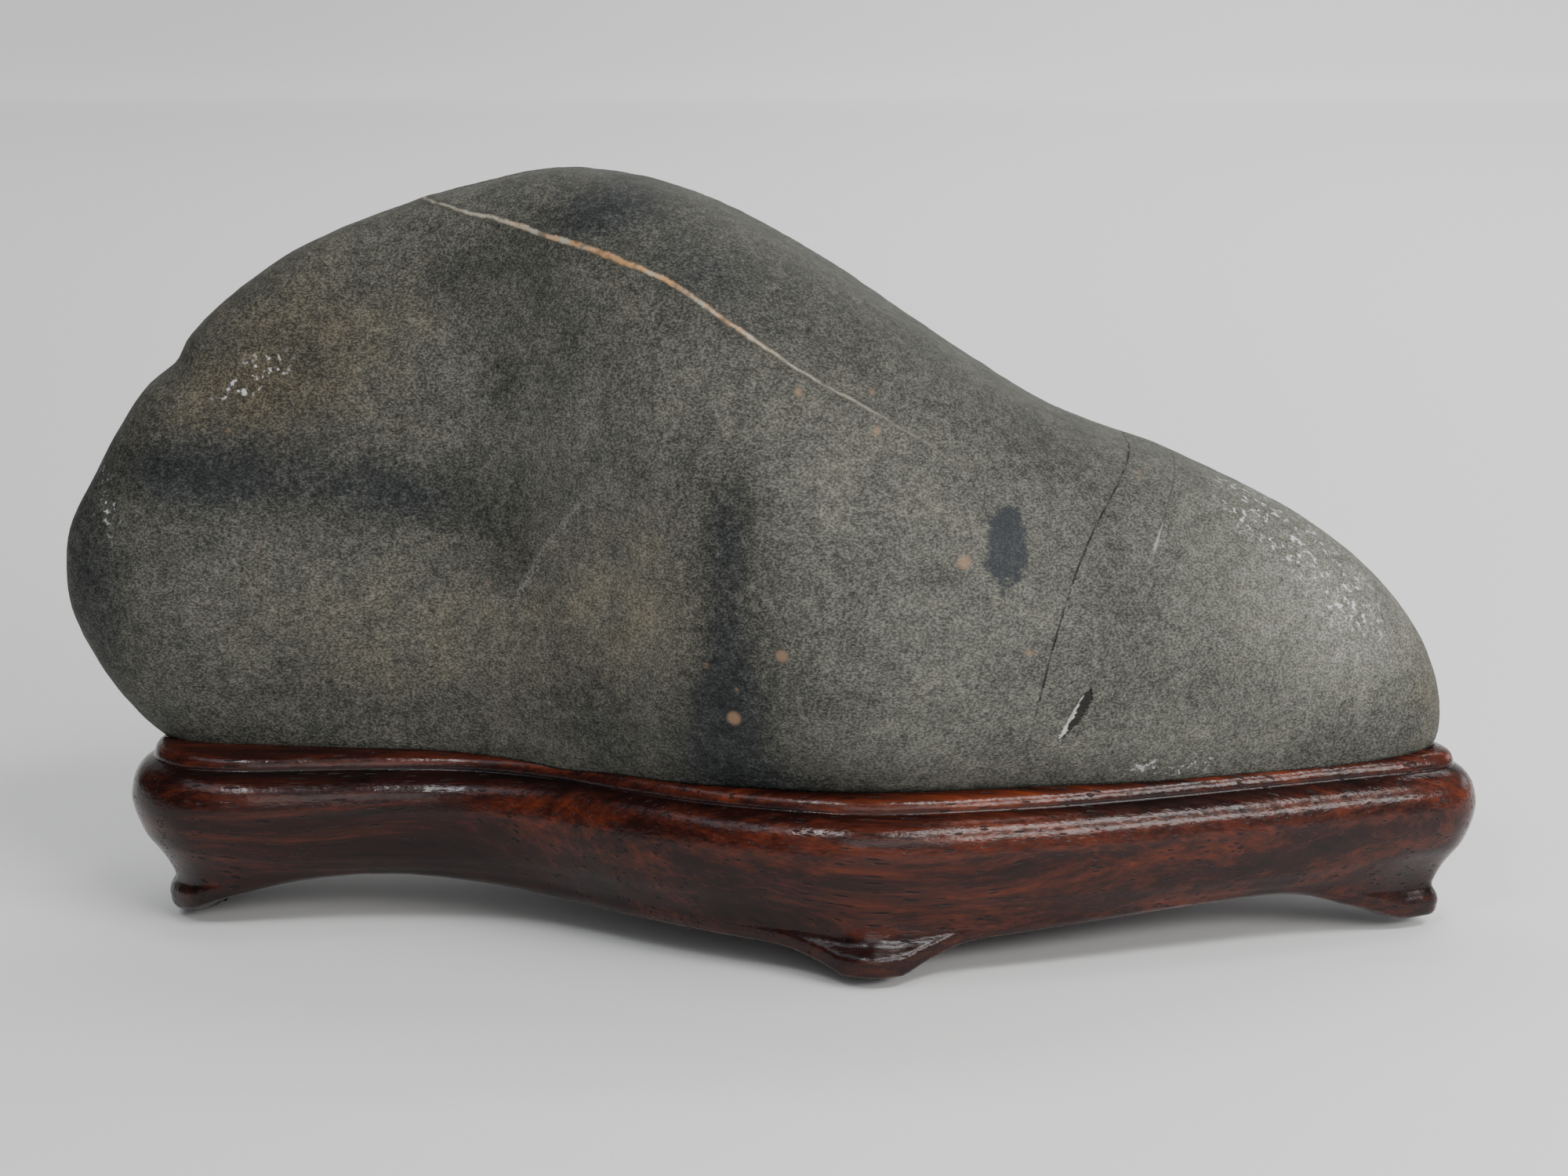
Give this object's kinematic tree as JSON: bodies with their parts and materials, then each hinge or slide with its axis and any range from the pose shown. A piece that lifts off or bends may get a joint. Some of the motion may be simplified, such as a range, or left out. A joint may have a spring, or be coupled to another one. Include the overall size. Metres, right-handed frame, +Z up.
{
  "type": "viewing stone on stand",
  "caption": "Smooth river-worn display stone, high at the left and low at the right, resting loose in a fitted carved hardwood stand with short feet.",
  "frame": {"origin": "middle of the bottom of the bounding box, on the surface that the feet stand on", "axes": "+X along the longest side, towards the stone's low nose; the front faces -Y; +Z up"},
  "size_m": [0.2504, 0.0914, 0.1322],
  "materials": {
    "river_stone": "matte, fine-grained, water-worn, with a thin pale vein, dark stains and small pits",
    "waxed_rosewood": "dark red hardwood, waxed and polished to a gloss"
  },
  "bodies": {
    "stand": {"stand": "waxed_rosewood"},
    "stone": {"stone": "river_stone"}
  },
  "joints": [
    {"name": "stone_lift", "type": "slide", "parent": "stand", "child": "stone", "axis": [0, 0, 1], "range_m": [0, 0.06]}
  ]
}
